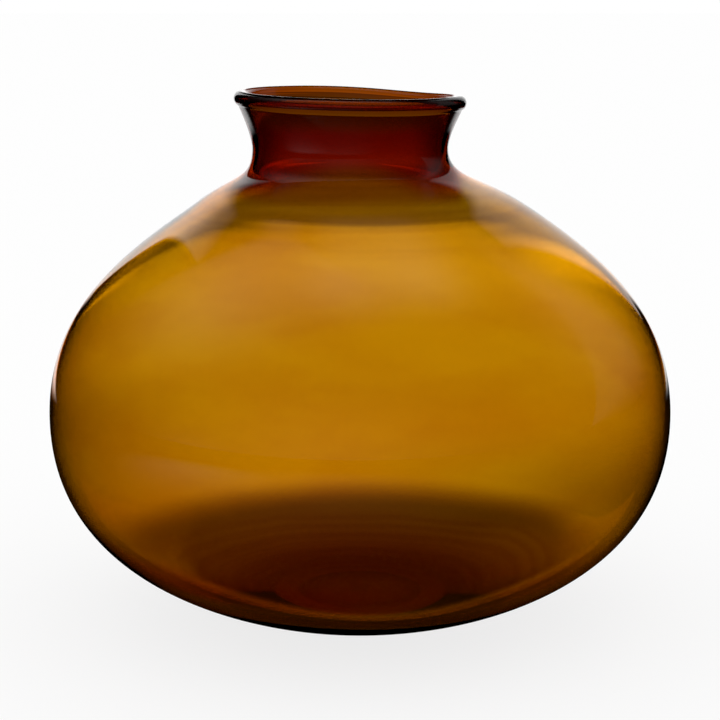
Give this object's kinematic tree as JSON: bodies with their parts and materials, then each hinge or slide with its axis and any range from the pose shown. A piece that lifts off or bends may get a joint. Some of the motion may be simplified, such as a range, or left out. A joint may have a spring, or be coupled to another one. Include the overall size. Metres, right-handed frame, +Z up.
{
  "type": "bulb vase",
  "caption": "Wide blown amber glass bulb vase: thick foot, round low belly, short flared neck and rolled lip, for stems or branches in water.",
  "frame": {"origin": "centre of the flat standing ring, on the surface that the vase stands on", "axes": "+Z up along the body's axis, +X to the right as seen in the picture, and +Y away from the viewer"},
  "size_m": [0.29, 0.29, 0.2461],
  "materials": {
    "amber_glass": "fire-polished clear amber glass"
  },
  "bodies": {
    "root": {"base": "amber_glass", "bowl": "amber_glass", "shoulder": "amber_glass", "neck": "amber_glass", "lip_ring": "amber_glass"}
  },
  "joints": []
}
